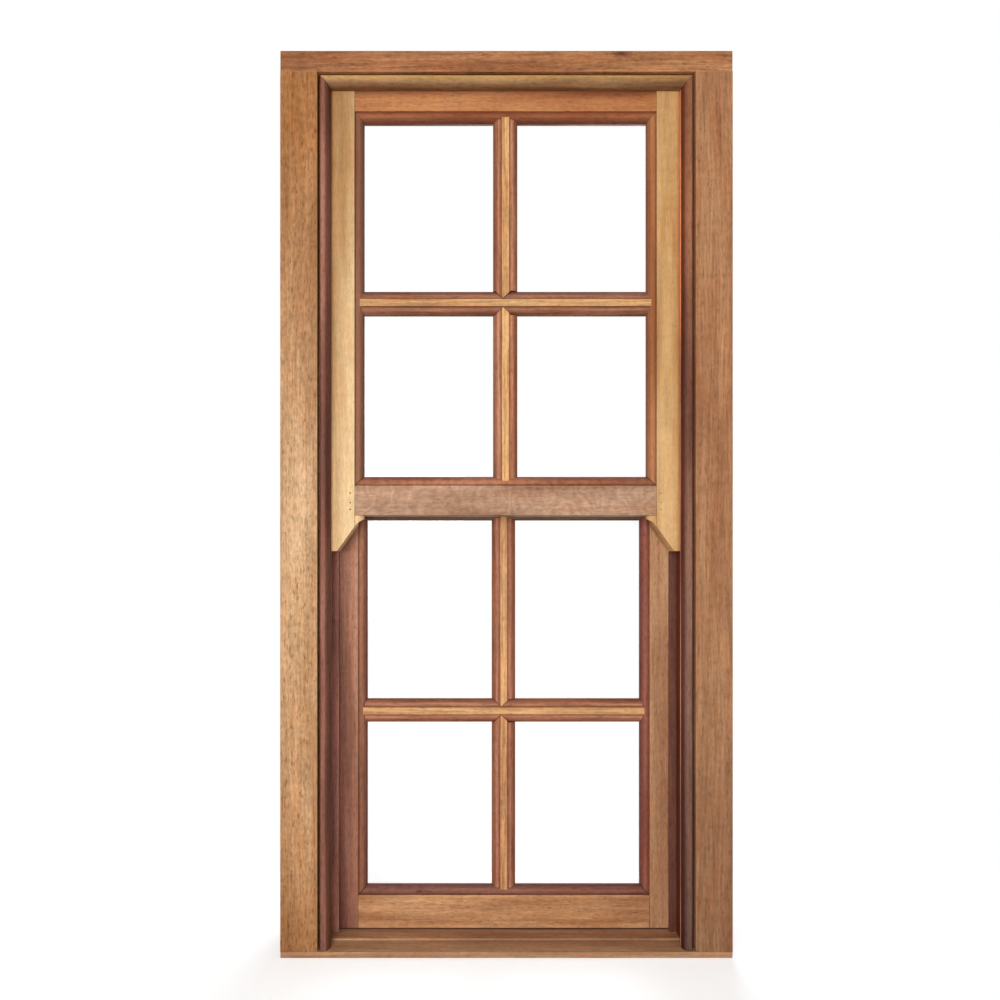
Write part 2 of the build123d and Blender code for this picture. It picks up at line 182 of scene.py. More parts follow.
def drawn_grain(tree, vector, feature):
    """The value of one feature of the timber."""
    return grain_noise(tree, vector, *GRAIN[feature]).outputs[0]


def hardwood_pattern():
    """Node group of the timber, with its grain along the first axis of the board.

    Broad tone bands drift along it and carry streaks, curl, dark flecks, fibres and open pores.
    Over them lie a gradient of mostly painted shade, painted shade on faces turned from the front, bands of
    painted highlight and shade, a painted highlight on the arrises and a darkening towards the bottom.
    Joints gathered dust and end grain is darker.
    """
    tree = bpy.data.node_groups.new("hardwood_pattern", "ShaderNodeTree")
    for name, kind in (
        ("Board", "NodeSocketVector"),
        ("Place", "NodeSocketVector"),
        ("Normal", "NodeSocketVector"),
        ("Light", "NodeSocketColor"),
        ("Middle", "NodeSocketColor"),
        ("Dark", "NodeSocketColor"),
        ("Gradient shade", "NodeSocketColor"),
        ("Painted band shade", "NodeSocketColor"),
        ("Side shade", "NodeSocketColor"),
        ("Streaks", "NodeSocketFloat"),
        ("Curl", "NodeSocketFloat"),
        ("Figure", "NodeSocketFloat"),
        ("Flecks", "NodeSocketFloat"),
        ("Gradient", "NodeSocketFloat"),
        ("Painted band", "NodeSocketFloat"),
        ("Joint", "NodeSocketFloat"),
        ("Knot", "NodeSocketFloat"),
        ("Sides", "NodeSocketFloat"),
        ("Low darkening", "NodeSocketFloat"),
        ("Arris highlight", "NodeSocketFloat"),
        ("End grain", "NodeSocketFloat"),
    ):
        tree.interface.new_socket(name, in_out="INPUT", socket_type=kind)
    for name, kind in (
        ("Colour", "NodeSocketColor"),
        ("Roughness", "NodeSocketFloat"),
        ("Height", "NodeSocketFloat"),
    ):
        tree.interface.new_socket(name, in_out="OUTPUT", socket_type=kind)
    given = tree.nodes.new("NodeGroupInput").outputs
    board = given["Board"]

    drift = grain_noise(tree, board, *GRAIN["drift"]).outputs["Color"]
    centred = reckon_vector(tree, "SUBTRACT", drift, (0.5, 0.5, 0.5))
    waved = reckon_vector(tree, "ADD", board, reckon_vector(tree, "MULTIPLY", centred, GRAIN_SWAY))

    tone = spread(tree, drawn_grain(tree, waved, "tone"), *TONE_RANGE)
    low_tone = blend_colour(tree, spread(tree, tone, 0.0, 0.5), given["Dark"], given["Middle"])
    toned = blend_colour(tree, spread(tree, tone, 0.5, 1.0), low_tone, given["Light"])
    warmth = times(tree, spread(tree, drawn_grain(tree, waved, "warmth"), *WARMTH_RANGE), WARMTH_SHARE)
    warmed = blend_colour(tree, warmth, toned, WARM_SHADE, "MULTIPLY")
    # A shade gradient along the board, mostly painted shade and painted shadows beside the beads.
    colour = blend_colour(tree, given["Gradient"], warmed, given["Gradient shade"], "MULTIPLY")

    streak = spread(tree, drawn_grain(tree, waved, "streak"), *TONE_RANGE, -1.0, 1.0)
    curl = spread(tree, drawn_grain(tree, waved, "curl"), *CURL_RANGE, -1.0, 1.0)
    speck = spread(tree, drawn_grain(tree, waved, "speck"), *TONE_RANGE, -1.0, 1.0)
    fibre = drawn_grain(tree, waved, "fibre")
    figure = reckon(tree, "SINE", times(tree, drawn_grain(tree, waved, "rings"), RING_COUNT))
    lift = plus(tree, times(tree, streak, given["Streaks"]), times(tree, curl, given["Curl"]))
    lift = plus(tree, lift, times(tree, speck, times(tree, given["Flecks"], SPECK_SHARE)))
    lift = plus(tree, lift, times(tree, figure, given["Figure"]))
    lift = plus(tree, lift, spread(tree, fibre, *FIBRE_RANGE, -FIBRE_SHARE, FIBRE_SHARE))
    gain = {0: colour, "Scale": plus(tree, lift, 1.0)}
    varied = add_node(tree, "ShaderNodeVectorMath", gain, operation="SCALE").outputs[0]

    fleck = spread(tree, drawn_grain(tree, waved, "fleck"), *FLECK_RANGE)
    flecked = blend_colour(tree, times(tree, fleck, given["Flecks"]), varied, FLECK_SHADE, "MULTIPLY")
    pore = spread(tree, drawn_grain(tree, waved, "pore"), *PORE_RANGE)
    pored = blend_colour(tree, times(tree, pore, PORE_SHARE), flecked, PORE_SHADE, "MULTIPLY")
    planed = blend_colour(tree, given["Knot"], pored, KNOT_SHADE, "MULTIPLY")

    size = add_node(tree, "ShaderNodeVectorMath", {0: given["Normal"]}, operation="ABSOLUTE").outputs[0]
    facing = add_node(tree, "ShaderNodeSeparateXYZ", {0: size}).outputs
    # Painted shade on faces that turn away from the front.
    side = times(tree, spread(tree, facing["Y"], *SIDE_TURN, 1.0, 0.0), given["Sides"])
    # Darker towards the bottom, up to a set height.
    rise = add_node(tree, "ShaderNodeSeparateXYZ", {0: given["Place"]}).outputs["Z"]
    low_darkening_mask = times(tree, spread(tree, rise, 0.0, LOW_DARKENING_HEIGHT, 1.0, 0.0), given["Low darkening"])
    darkened_low = blend_colour(tree, low_darkening_mask, planed, LOW_DARKENING_SHADE, "MULTIPLY")
    sided = blend_colour(tree, side, darkened_low, given["Side shade"], "MULTIPLY")
    # Painted highlight and shade across a band of the board, on mouldings, beads, tracks and the sill's
    # seat.
    band_shaded = blend_colour(tree, 1.0, planed, given["Painted band shade"], "MULTIPLY")
    painted_band = blend_colour(tree, given["Painted band"], sided, band_shaded)
    widest = reckon(tree, "MAXIMUM", reckon(tree, "MAXIMUM", facing["X"], facing["Y"]), facing["Z"])
    # A painted highlight along the eased arrises.
    arris_highlight = times(tree, spread(tree, widest, *ARRIS_TURN, 1.0, 0.0), given["Arris highlight"])
    edged = blend_colour(tree, arris_highlight, painted_band, ARRIS_HIGHLIGHT_COLOUR)
    dusty = blend_colour(tree, times(tree, given["Joint"], DUST_SHARE), edged, DUST_SHADE, "MULTIPLY")
    ended = blend_colour(tree, given["End grain"], dusty, END_SHADE, "MULTIPLY")

    planed_rough = spread(tree, fibre, *FIBRE_RANGE, *PLANED_ROUGHNESS)
    rough = plus(tree, times(tree, pore, PORE_ROUGHNESS), planed_rough)
    height = plus(tree, times(tree, fibre, FIBRE_RELIEF), times(tree, pore, PORE_RELIEF))
    height = plus(tree, height, times(tree, fleck, FLECK_RELIEF))
    add_node(tree, "NodeGroupOutput", {"Colour": ended, "Roughness": rough, "Height": height})
    return tree


timber = hardwood_pattern()
GRAIN_TURN = {"X": (0.0, 0.0, 0.0), "Z": (0.0, math.pi / 2, 0.0)}
# Painted shade for faces turned from the front.
PAINTED_SIDE_SHADE = (0.55, 0.40, 0.46, 1.0)
# A band of one even painted shade.
FLAT_BAND = ((0.0, (1.0, 1.0, 1.0)), (12.0, (1.0, 1.0, 1.0)))
BAND_EDGE = 0.6 * MILLIMETRE
BAND_FADE = 0.8 * MILLIMETRE
DUST_LINE = (0.5 * MILLIMETRE, 1.8 * MILLIMETRE)
KNOT_EDGE = (0.6, 1.5)


def shade_band(way, start, shades, colour=(1.0, 1.0, 1.0), middle=None, foot=None):
    """A band of painted highlight and shade: its way and start, and its shades by millimetres from there.

    With a middle the band is the same on both sides of it, and with a foot it ends at that height.
    """
    tinted = [(reach, [part * share for part, share in zip(shade, colour)]) for reach, shade in shades]
    return {"way": way, "start": start, "shades": tinted, "middle": middle, "foot": foot}


def gradient_shade(colour, way, start, middle=None):
    """A shade that grows along a board, over one unit of the way from its start.

    With a middle it grows away from there on both sides.
    """
    return {"colour": (*colour, 1.0), "way": way, "start": start, "middle": middle}


def apart(tree, value, middle):
    """How far a value is from a middle, on either side of it."""
    return reckon(tree, "ABSOLUTE", reckon(tree, "SUBTRACT", value, middle))


def along(tree, place, made):
    """How far a place lies along the way of a painted band or a shade gradient, or from its middle."""
    reach = add_node(tree, "ShaderNodeVectorMath", {0: place, 1: made["way"]}, operation="DOT_PRODUCT")
    if made["middle"] is None:
        return reach.outputs["Value"]
    return apart(tree, reach.outputs["Value"], made["middle"])


def painted_band_mask(tree, place, made):
    """The mask of a band of painted highlight and shade, and the painted shade across it."""
    into = plus(tree, along(tree, place, made), -made["start"])
    shades = made["shades"]
    width = shades[-1][0] * MILLIMETRE
    entered = spread(tree, into, 0.0, BAND_EDGE)
    mask = times(tree, entered, spread(tree, into, width, width + BAND_FADE, 1.0, 0.0))
    if made["foot"] is not None:
        rise = add_node(tree, "ShaderNodeSeparateXYZ", {0: place}).outputs["Z"]
        mask = times(tree, mask, reckon(tree, "GREATER_THAN", rise, made["foot"]))
    ramp = add_node(tree, "ShaderNodeValToRGB", {0: spread(tree, into, 0.0, width)})
    stops = ramp.color_ramp.elements
    stops[0].color = (*shades[0][1], 1.0)
    stops[1].color = (*shades[-1][1], 1.0)
    for reach, shade in shades[1:-1]:
        stops.new(reach * MILLIMETRE / width).color = (*shade, 1.0)
    return mask, ramp.outputs[0]


def joint_mask(tree, place, joint):
    """Dust along a joint that runs at 45 degrees from a point to an end, in front of a depth."""
    across, height, tip, end, depth = joint
    parts = add_node(tree, "ShaderNodeSeparateXYZ", {0: place}).outputs
    upward = apart(tree, parts["Z"], height)
    off = apart(tree, plus(tree, apart(tree, parts["X"], across), tip), upward)
    line = spread(tree, off, *DUST_LINE, 1.0, 0.0)
    within = reckon(tree, "LESS_THAN", upward, end)
    near = reckon(tree, "LESS_THAN", parts["Y"], depth)
    return times(tree, line, times(tree, within, near))


def knot_mask(tree, place, board, knot):
    """A knot: a dark eye drawn out along the board, with a ragged edge."""
    centre, reach = knot
    share = reckon_vector(tree, "DIVIDE", reckon_vector(tree, "SUBTRACT", place, centre), reach)
    far = add_node(tree, "ShaderNodeVectorMath", {0: share}, operation="LENGTH").outputs["Value"]
    ragged = plus(tree, far, drawn_grain(tree, board, "knot edge"))
    return spread(tree, ragged, *KNOT_EDGE, 1.0, 0.0)


END_TURN = (0.75, 0.95)
PORE_BUMP = {"Strength": 0.25, "Distance": 0.3 * MILLIMETRE}
OIL_IOR = 1.46
OIL_GLOSS = 0.2


def oiled_wood(
    name, grain, tones, shift, streaks=0.08, curl=0.04, figure=0.0, flecks=0.4, painted_band=None, gradient=None,
    joint=None, knot=None, side_shade=PAINTED_SIDE_SHADE, sides=0.0, darken_low=0.0, arris=0.0,
):
    """An oiled board with its grain along X or Z, taken from its own place in the tree."""
    material = bpy.data.materials.new(name)
    material.use_nodes = True
    tree = material.node_tree
    shader = tree.nodes["Principled BSDF"]
    given = tree.nodes.new("ShaderNodeTexCoord").outputs
    place = given["Object"]
    turn = {"Vector": place, "Location": shift, "Rotation": GRAIN_TURN[grain]}
    board = add_node(tree, "ShaderNodeMapping", turn).outputs[0]
    facing = add_node(tree, "ShaderNodeSeparateXYZ", {0: given["Normal"]}).outputs
    light, middle, dark = tones
    sockets = {
        "Board": board,
        "Place": place,
        "Normal": given["Normal"],
        "Light": tint(*light),
        "Middle": tint(*middle),
        "Dark": tint(*dark),
        "Side shade": side_shade,
        "Streaks": streaks,
        "Curl": curl,
        "Figure": figure,
        "Flecks": flecks,
        # Painted shade on faces turned from the front.
        "Sides": sides,
        # Darker towards the bottom.
        "Low darkening": darken_low,
        # A painted highlight along the arrises.
        "Arris highlight": arris,
        "End grain": spread(tree, reckon(tree, "ABSOLUTE", facing[grain]), *END_TURN),
    }
    if painted_band:
        sockets["Painted band"], sockets["Painted band shade"] = painted_band_mask(tree, place, painted_band)
    if gradient:
        toward = along(tree, place, gradient)
        sockets["Gradient shade"] = gradient["colour"]
        sockets["Gradient"] = spread(tree, toward, gradient["start"], gradient["start"] + 1.0)
    if knot:
        sockets["Knot"] = knot_mask(tree, place, board, knot)
    if joint:
        dust = joint_mask(tree, place, joint)
        on_face = painted_band["middle"] is not None
        sockets["Joint"] = dust if on_face else times(tree, dust, sockets["Painted band"])
    pattern = add_node(tree, "ShaderNodeGroup", sockets, node_tree=timber).outputs
    bump = add_node(tree, "ShaderNodeBump", {"Height": pattern["Height"], **PORE_BUMP})
    tree.links.new(pattern["Colour"], shader.inputs["Base Color"])
    tree.links.new(pattern["Roughness"], shader.inputs["Roughness"])
    tree.links.new(bump.outputs[0], shader.inputs["Normal"])
    shader.inputs["IOR"].default_value = OIL_IOR
    shader.inputs["Specular IOR Level"].default_value = OIL_GLOSS
    return material


def soft_arris_tree():
    """Geometry nodes that shade a piece smooth except along its real edges."""
    tree = bpy.data.node_groups.new("soft_arris", "GeometryNodeTree")
    tree.interface.new_socket("Geometry", in_out="INPUT", socket_type="NodeSocketGeometry")
    tree.interface.new_socket("Edge angle", in_out="INPUT", socket_type="NodeSocketFloat")
    tree.interface.new_socket("Geometry", in_out="OUTPUT", socket_type="NodeSocketGeometry")
    given = tree.nodes.new("NodeGroupInput").outputs
    smooth = add_node(tree, "GeometryNodeSetShadeSmooth", {"Geometry": given["Geometry"]}, domain="FACE")
    angle = tree.nodes.new("GeometryNodeInputMeshEdgeAngle").outputs[0]
    limits = {0: angle, 1: given["Edge angle"]}
    sharp = add_node(tree, "FunctionNodeCompare", limits, operation="GREATER_THAN")
    crease = add_node(
        tree,
        "GeometryNodeSetShadeSmooth",
        {"Geometry": smooth.outputs[0], "Selection": sharp.outputs[0], "Shade Smooth": False},
        domain="EDGE",
    )
    add_node(tree, "NodeGroupOutput", {"Geometry": crease.outputs[0]})
    return tree


soft_arris = soft_arris_tree()
EDGE_ANGLE = math.radians(28)
SMOOTH_ANGLE = math.radians(50)
FLAT_ANGLE = math.radians(0.3)
WELD_REACH = 0.01 * MILLIMETRE
FRAME_ARRIS = 1.6 * MILLIMETRE
SANDED_ARRIS = 0.7 * MILLIMETRE


def dress(node, material, arris=SANDED_ARRIS):
    """A timber piece given its finish, with its sharp edges eased as sandpaper leaves them."""
    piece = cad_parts[node]
    piece.material_slots[0].material = material
    weld = piece.modifiers.new("weld", "WELD")
    weld.merge_threshold = WELD_REACH
    flat = piece.modifiers.new("flat_faces", "DECIMATE")
    flat.decimate_type = "DISSOLVE"
    flat.angle_limit = FLAT_ANGLE
    bevel = piece.modifiers.new("eased_arris", "BEVEL")
    bevel.width = arris
    bevel.segments = 2
    bevel.limit_method = "ANGLE"
    bevel.angle_limit = EDGE_ANGLE
    bevel.use_clamp_overlap = True
    shade = piece.modifiers.new("soft_arris", "NODES")
    shade.node_group = soft_arris
    angle_input = next(item for item in soft_arris.interface.items_tree if item.name == "Edge angle")
    shade[angle_input.identifier] = SMOOTH_ANGLE
    even = piece.modifiers.new("even_faces", "WEIGHTED_NORMAL")
    even.keep_sharp = True
    return piece


TO_ROOM = (0.0, 1.0, 0.0)
SILL_TONES = ((201, 156, 116), (185, 140, 104), (165, 120, 89))
# Painted shadow on the sill's seat, under the bottom rail.
SEAT_SHADOW = (0.20, 0.165, 0.20)
SEAT_LAP = 3.0 * MILLIMETRE
sill_seat_shadow = shade_band(TO_ROOM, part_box("lower_bottom_rail")[0][1] + SEAT_LAP, FLAT_BAND, SEAT_SHADOW)
sill_wood = oiled_wood(
    "sill_wood", "X", SILL_TONES, shift=(0.3, 0.1, 0.2), streaks=0.12, flecks=0.3, painted_band=sill_seat_shadow,
    arris=0.1,
)
dress("sill", sill_wood, FRAME_ARRIS)

# Head and jambs. Heavy planed boards: the head runs over both jambs, which stand on the sill.
# Their rebates take the outer bead; their arrises carry a painted highlight and their tracks painted shade.
TO_LEFT = (-1.0, 0.0, 0.0)
TO_RIGHT = (1.0, 0.0, 0.0)
DOWN = (0.0, 0.0, -1.0)
TRACK_PLAY = 3.6 * MILLIMETRE
HEAD_PLAY = 2.0 * MILLIMETRE
TRACK_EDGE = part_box("upper_stile_right")[1][0] + TRACK_PLAY
SOFFIT_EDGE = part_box("upper_stile_right")[1][2] + HEAD_PLAY
HEAD_TONES = ((196, 140, 96), (181, 125, 82), (158, 102, 64))
# Painted shade, darker towards the top and the left of the head, where less light falls.
HEAD_PAINTED_SHADE = gradient_shade((0.70, 0.58, 0.55), (-1.8, 0.0, 12.0), 21.13)
HEAD_KNOT = ((0.228, 0.0, 1.789), (0.026, 1.0, 0.010))
# Painted shade on the soffit over the sash.
SOFFIT_PAINTED_SHADE = (0.42, 0.32, 0.38)
head_wood = oiled_wood(
    "head_wood", "X", HEAD_TONES, shift=(1.7, 0.4, 0.9), streaks=0.24, curl=0.08, flecks=0.6,
    painted_band=shade_band(DOWN, -SOFFIT_EDGE, FLAT_BAND, SOFFIT_PAINTED_SHADE), gradient=HEAD_PAINTED_SHADE, knot=HEAD_KNOT, arris=0.3,
)
dress("head", head_wood, FRAME_ARRIS)
JAMB_LEFT_TONES = ((224, 182, 138), (211, 168, 123), (193, 149, 105))
# Painted shade above and below the middle height, where the light falls off, and painted shade in the
# track.
JAMB_LEFT_PAINTED_FALLOFF = gradient_shade((0.62, 0.44, 0.28), (0.0, 0.0, 1.25), 0.1, middle=0.98)
LEFT_TRACK_PAINTED_SHADE = (0.62, 0.52, 0.66)
jamb_left_wood = oiled_wood(
    "jamb_left_wood", "Z", JAMB_LEFT_TONES, shift=(0.2, 2.1, 0.6), streaks=0.14, curl=0.05, figure=0.05,
    flecks=0.65, painted_band=shade_band(TO_RIGHT, -TRACK_EDGE, FLAT_BAND, LEFT_TRACK_PAINTED_SHADE), gradient=JAMB_LEFT_PAINTED_FALLOFF, darken_low=0.1,
    arris=0.8,
)
dress("jamb_left", jamb_left_wood, FRAME_ARRIS)
JAMB_RIGHT_TONES = ((189, 138, 97), (178, 126, 87), (164, 112, 76))
# Painted shade, darker towards the foot where the light falls off, and deep painted shade in the track.
JAMB_RIGHT_PAINTED_LOW_SHADE = gradient_shade((0.70, 0.71, 0.75), DOWN, -0.95)
RIGHT_TRACK_PAINTED_SHADE = (0.33, 0.18, 0.18)
jamb_right_wood = oiled_wood(
    "jamb_right_wood", "Z", JAMB_RIGHT_TONES, shift=(4.2, 1.3, 2.4), streaks=0.18, curl=0.07,
    painted_band=shade_band(TO_LEFT, -TRACK_EDGE, FLAT_BAND, RIGHT_TRACK_PAINTED_SHADE), gradient=JAMB_RIGHT_PAINTED_LOW_SHADE, arris=0.8,
)
dress("jamb_right", jamb_right_wood, FRAME_ARRIS)

# Outer stop beads. Rounded lengths planted in the rebate with a thin shadow line beside the frame,
# mitred at the head. The upright ones are cut from darker, redder stock than the frame.
# Painted shade on the rounded sides of the beads.
BEAD_PAINTED_SIDE_SHADE = (0.42, 0.26, 0.26, 1.0)
LEFT_BEAD_TONES = ((174, 120, 98), (149, 98, 79), (114, 69, 55))
# Painted shade across the bead's rounded right side, from where its lit face ends.
LEFT_BEAD_LIT = 9.0 * MILLIMETRE
LEFT_BEAD_PAINTED_SHADING = (
    (0.0, (0.95, 0.92, 0.95)),
    (2.0, (0.72, 0.67, 0.70)),
    (4.0, (0.48, 0.42, 0.42)),
    (6.0, (0.41, 0.36, 0.33)),
    (13.0, (0.46, 0.40, 0.37)),
)
left_bead_shading = shade_band(TO_RIGHT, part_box("outer_bead_left")[0][0] + LEFT_BEAD_LIT, LEFT_BEAD_PAINTED_SHADING)
left_bead_wood = oiled_wood(
    "outer_bead_left_wood", "Z", LEFT_BEAD_TONES, shift=(5.1, 0.3, 0.8), painted_band=left_bead_shading,
    side_shade=BEAD_PAINTED_SIDE_SHADE, sides=1.0, darken_low=0.8,
)
dress("outer_bead_left", left_bead_wood)
RIGHT_BEAD_TONES = ((176, 118, 82), (151, 97, 66), (118, 70, 48))
# Less red and bluer towards the foot.
RIGHT_BEAD_FOOT_TINT = gradient_shade((0.69, 0.86, 1.28), (0.0, 0.0, -1.2), -1.8)
# A painted highlight on the bead's inner edge beside the track, behind its rounded nose.
BEAD_ROUND = 14.0 * MILLIMETRE
RIGHT_BEAD_PAINTED_HIGHLIGHT = (3.8, 3.7, 3.3)
right_bead_highlight = shade_band(TO_ROOM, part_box("outer_bead_right")[0][1] + BEAD_ROUND, FLAT_BAND, RIGHT_BEAD_PAINTED_HIGHLIGHT)
right_bead_wood = oiled_wood(
    "outer_bead_right_wood", "Z", RIGHT_BEAD_TONES, shift=(6.4, 0.9, 1.6), painted_band=right_bead_highlight,
    gradient=RIGHT_BEAD_FOOT_TINT, side_shade=BEAD_PAINTED_SIDE_SHADE, sides=1.0, darken_low=0.7,
)
dress("outer_bead_right", right_bead_wood)
HEAD_BEAD_TONES = ((206, 163, 106), (189, 146, 92), (160, 114, 70))
# Painted light across the head bead: a painted highlight on its top, falling to painted shade on its
# underside.
HEAD_BEAD_PAINTED_LIGHT = (
    (0.0, (1.28, 1.28, 1.25)),
    (5.0, (1.05, 1.05, 1.02)),
    (9.0, (0.91, 0.91, 0.95)),
    (11.0, (0.80, 0.80, 0.85)),
    (13.0, (0.70, 0.69, 0.75)),
    (15.0, (0.63, 0.61, 0.68)),
    (17.0, (0.59, 0.56, 0.64)),
    (20.0, (0.60, 0.55, 0.65)),
)
head_bead_shading = shade_band(DOWN, -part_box("outer_bead_head")[1][2], HEAD_BEAD_PAINTED_LIGHT)
head_bead_wood = oiled_wood(
    "outer_bead_head_wood", "X", HEAD_BEAD_TONES, shift=(3.3, 1.2, 0.4), streaks=0.12, painted_band=head_bead_shading,
)
dress("outer_bead_head", head_bead_wood)

# Parting beads. Thin slips of red hardwood between the two tracks, mitred at the head.
# They are pushed dry into grooves in the frame, so that they can be drawn out to free a sash.
PARTING_TONES = ((210, 150, 132), (186, 127, 111), (144, 93, 80))
# Painted shade: the right-hand slip is the same timber darkened, as it stands in shadow in its track.
SHADED_RIGHT_PARTING_TONES = ((120, 76, 62), (102, 61, 50), (80, 47, 38))
for node, grain, tones, shift in (
    ("parting_bead_left", "Z", PARTING_TONES, (7.3, 2.2, 0.5)),
    ("parting_bead_right", "Z", SHADED_RIGHT_PARTING_TONES, (8.8, 1.9, 1.1)),
    ("parting_bead_head", "X", PARTING_TONES, (9.2, 0.7, 2.9)),
):
    dress(node, oiled_wood(f"{node}_wood", grain, tones, shift))

# Staff beads. The inner stop that keeps the lower sash in its track, in the same timber as the frame.
# It is mitred all round the room side and held to the frame by brads.
STAFF_TONES = ((200, 152, 110), (176, 126, 88), (146, 98, 66))
for node, grain, shift in (
    ("staff_bead_left", "Z", (2.2, 3.3, 0.5)),
    ("staff_bead_right", "Z", (3.8, 2.7, 1.5)),
    ("staff_bead_head", "X", (4.4, 1.7, 2.5)),
    ("staff_bead_sill", "X", (5.6, 3.7, 3.5)),
):
    dress(node, oiled_wood(f"{node}_wood", grain, STAFF_TONES, shift))

# Upper sash. Stiles and rails are morticed together, with the moulding worked on the solid.
# The stiles are the palest boards in the window, and the meeting rail is a pinker, curly one.
MEMBER_QUIRK = 1.2 * MILLIMETRE
# Painted highlight and shade across a member's moulding, by millimetres behind its face: dark in the quirk,
# a painted highlight on the crest, darker down to the sight edge. Each piece tints it with a colour of its
# own.
MEMBER_PAINTED_SHADING = (
    (0.0, (0.60, 0.50, 0.50)),
    (1.2, (1.36, 1.24, 1.08)),
    (2.0, (1.14, 1.08, 1.02)),
    (3.0, (0.84, 0.78, 0.86)),
    (3.7, (1.00, 0.97, 1.08)),
    (5.1, (0.76, 0.66, 0.76)),
    (11.6, (0.70, 0.58, 0.66)),
)
JOINT_DEPTH = 20 * MILLIMETRE
RAIL_LAP = 1.0 * MILLIMETRE
FAR_ABOVE = 3.0
UPPER_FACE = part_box("upper_stile_left")[0][1] + MEMBER_QUIRK
RAIL_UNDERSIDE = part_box("upper_meeting_rail")[0][2] + RAIL_LAP
SIGHT_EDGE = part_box("upper_stile_right")[0][0]


def foot_mitre(rail, face):
    """The mitres at the two lower corners of a sash's moulding."""
    tip = FAR_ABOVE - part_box(rail)[1][2] - SIGHT_EDGE
    return (0.0, FAR_ABOVE, tip, FAR_ABOVE, face + JOINT_DEPTH)


upper_mitre = foot_mitre("upper_meeting_rail", UPPER_FACE)
UPPER_LEFT_TONES = ((248, 212, 160), (238, 199, 146), (218, 175, 122))
# Painted shadow of the outer bead, darker towards the stile's outer edge.
UPPER_LEFT_BEAD_SHADOW = gradient_shade((0.47, 0.34, 0.22), (-12.2, 0.0, 0.786), 4.60)
UPPER_LEFT_MOULDING_SHADING = (0.28, 0.19, 0.21)
upper_left_wood = oiled_wood(
    "upper_stile_left_wood", "Z", UPPER_LEFT_TONES, shift=(1.1, 5.2, 0.7), streaks=0.06, flecks=0.2,
    painted_band=shade_band(TO_ROOM, UPPER_FACE, MEMBER_PAINTED_SHADING, UPPER_LEFT_MOULDING_SHADING, foot=RAIL_UNDERSIDE),
    gradient=UPPER_LEFT_BEAD_SHADOW, joint=upper_mitre, sides=0.3,
)
dress("upper_stile_left", upper_left_wood)
UPPER_RIGHT_TONES = ((232, 188, 132), (214, 168, 111), (190, 141, 88))
# Painted shadow of the outer bead along the stile's outer edge.
UPPER_RIGHT_BEAD_SHADOW = gradient_shade((0.35, 0.20, 0.24), (83.0, 0.0, 0.0), 28.47)
UPPER_RIGHT_MOULDING_SHADING = (0.53, 0.385, 0.40)
upper_right_wood = oiled_wood(
    "upper_stile_right_wood", "Z", UPPER_RIGHT_TONES, shift=(2.7, 4.1, 1.9), streaks=0.05, flecks=0.15,
    painted_band=shade_band(TO_ROOM, UPPER_FACE, MEMBER_PAINTED_SHADING, UPPER_RIGHT_MOULDING_SHADING, foot=RAIL_UNDERSIDE),
    gradient=UPPER_RIGHT_BEAD_SHADOW, joint=upper_mitre, sides=0.3,
)
dress("upper_stile_right", upper_right_wood)
TOP_RAIL_TONES = ((202, 138, 88), (185, 121, 75), (158, 94, 56))
# Painted shadow of the head bead along the rail's top edge; it moves with the sash.
TOP_RAIL_BEAD_SHADOW = gradient_shade((0.40, 0.31, 0.33), (0.0, 0.0, 50.0), 85.75)
TOP_RAIL_MOULDING_SHADING = (0.51, 0.43, 0.46)
top_rail_wood = oiled_wood(
    "upper_top_rail_wood", "X", TOP_RAIL_TONES, shift=(0.9, 6.1, 0.2),
    painted_band=shade_band(TO_ROOM, UPPER_FACE, MEMBER_PAINTED_SHADING, TOP_RAIL_MOULDING_SHADING), gradient=TOP_RAIL_BEAD_SHADOW, sides=0.8,
)
dress("upper_top_rail", top_rail_wood)
UPPER_MEETING_TONES = ((202, 160, 130), (182, 142, 113), (152, 109, 82))
UPPER_MEETING_MOULDING_SHADING = (0.68, 0.49, 0.44)
# Painted shade on the rail's underside and on other faces turned from the front.
UPPER_MEETING_PAINTED_SIDE_SHADE = (0.51, 0.75, 0.70, 1.0)
meeting_rail_wood = oiled_wood(
    "upper_meeting_rail_wood", "X", UPPER_MEETING_TONES, shift=(3.9, 5.5, 1.2), streaks=0.06, curl=0.07,
    figure=0.10, painted_band=shade_band(TO_ROOM, UPPER_FACE, MEMBER_PAINTED_SHADING, UPPER_MEETING_MOULDING_SHADING), joint=upper_mitre,
    side_shade=UPPER_MEETING_PAINTED_SIDE_SHADE, sides=0.7,
)
dress("upper_meeting_rail", meeting_rail_wood)

# Lower sash. Built as the upper one, of moulded stiles and rails morticed together, with a deep bottom
# rail that beds on the sill. Its left stile is a dark red board, and its bottom rail has a small knot.
# Each member's moulding carries the same painted highlight and shade as the upper sash, in a colour of its
# own.
LOWER_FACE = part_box("lower_stile_left")[0][1] + MEMBER_QUIRK
lower_mitre = foot_mitre("lower_bottom_rail", LOWER_FACE)
LOWER_LEFT_TONES = ((194, 140, 112), (178, 124, 98), (152, 101, 78))
# Painted shadow of the outer bead, darker towards the stile's outer edge and its foot.
LOWER_LEFT_BEAD_SHADOW = gradient_shade((0.50, 0.41, 0.47), (-25.0, 0.0, -1.0), 7.26)
LOWER_LEFT_MOULDING_SHADING = (0.63, 0.63, 0.60)
lower_left_wood = oiled_wood(
    "lower_stile_left_wood", "Z", LOWER_LEFT_TONES, shift=(6.2, 5.9, 0.3), streaks=0.12,
    painted_band=shade_band(TO_ROOM, LOWER_FACE, MEMBER_PAINTED_SHADING, LOWER_LEFT_MOULDING_SHADING),
    gradient=LOWER_LEFT_BEAD_SHADOW, joint=lower_mitre,
)
dress("lower_stile_left", lower_left_wood)
LOWER_RIGHT_TONES = ((207, 161, 120), (193, 145, 106), (169, 120, 86))
